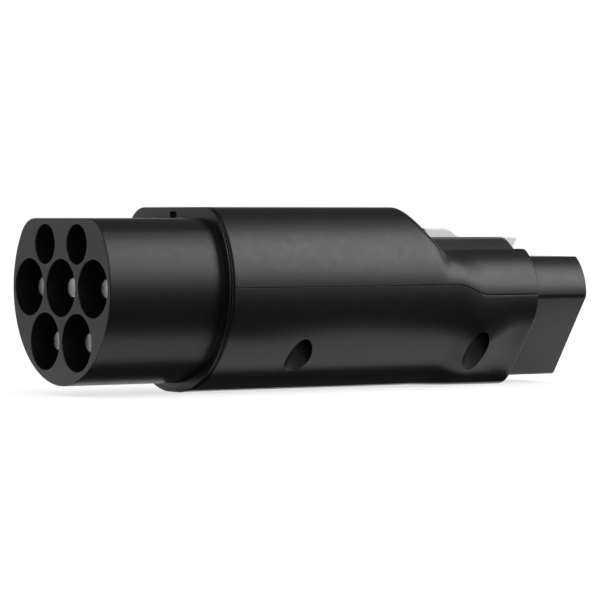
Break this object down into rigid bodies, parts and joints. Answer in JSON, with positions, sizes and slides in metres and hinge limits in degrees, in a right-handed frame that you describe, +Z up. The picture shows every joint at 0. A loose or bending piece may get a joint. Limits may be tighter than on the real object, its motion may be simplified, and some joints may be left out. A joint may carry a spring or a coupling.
{
  "type": "ev charging adapter",
  "caption": "Black adapter that joins a round flat-topped charging inlet to a flat-sided battery plug, with a stepped two-shell housing and a sprung latch lever.",
  "frame": {"origin": "the point where the earth contact's axis meets the inlet face", "axes": "+X runs along the adapter from the inlet face to the plug tip, +Z is up towards the flat top, and +Y completes the frame"},
  "size_m": [0.1563, 0.0578, 0.0501],
  "materials": {
    "nose_plastic": "satin moulded nylon",
    "housing_plastic": "satin moulded nylon",
    "plug_plastic": "satin moulded nylon",
    "inner_plastic": "moulded nylon",
    "seal_rubber": "soft rubber",
    "contact_silver": "silver plated, turned",
    "sleeve_brass": "turned brass",
    "screw_steel": "zinc plated",
    "spring_steel": "drawn wire",
    "board_laminate": "coated laminate",
    "relay_case": "moulded case",
    "chip_plastic": "moulded epoxy",
    "header_plastic": "moulded nylon",
    "earth_insulation": "extruded insulation",
    "neutral_insulation": "extruded insulation",
    "line_insulation": "extruded insulation",
    "pilot_insulation": "extruded insulation",
    "proximity_insulation": "extruded insulation",
    "loom_insulation": "extruded insulation",
    "lever_plastic": "satin moulded plastic"
  },
  "bodies": {
    "housing": {"inlet_body": "nose_plastic", "inlet_gasket": "seal_rubber", "earth_pin": "contact_silver", "neutral_pin": "contact_silver", "line_1_pin": "contact_silver", "line_2_pin": "contact_silver", "line_3_pin": "contact_silver", "pilot_pin": "contact_silver", "proximity_pin": "contact_silver", "pin_retainer": "inner_plastic", "retainer_screws": "screw_steel", "upper_shell": "housing_plastic", "lower_shell": "housing_plastic", "housing_screws": "screw_steel", "control_board": "board_laminate", "board_screws": "screw_steel", "relay": "relay_case", "board_parts": "chip_plastic", "board_header": "header_plastic", "earth_wire": "earth_insulation", "neutral_wire": "neutral_insulation", "line_wire": "line_insulation", "switched_wire": "line_insulation", "pilot_wire": "pilot_insulation", "proximity_wire": "proximity_insulation", "signal_loom": "loom_insulation", "plug_body": "plug_plastic", "socket_retainer": "inner_plastic", "earth_sleeve": "sleeve_brass", "neutral_sleeve": "sleeve_brass", "line_sleeve": "sleeve_brass", "signal_sleeves": "sleeve_brass", "latch_pin": "screw_steel", "latch_spring": "spring_steel"},
    "latch": {"latch_lever": "lever_plastic"}
  },
  "joints": [
    {"name": "latch_press", "type": "hinge", "parent": "housing", "child": "latch", "pos_m": [0.123, 0, 0.0062], "axis": [0, -1, 0], "range_deg": [0, 6], "stiffness_Nm_per_rad": 0.12, "springref_deg": -5.73, "deforming": ["latch_spring"]}
  ]
}
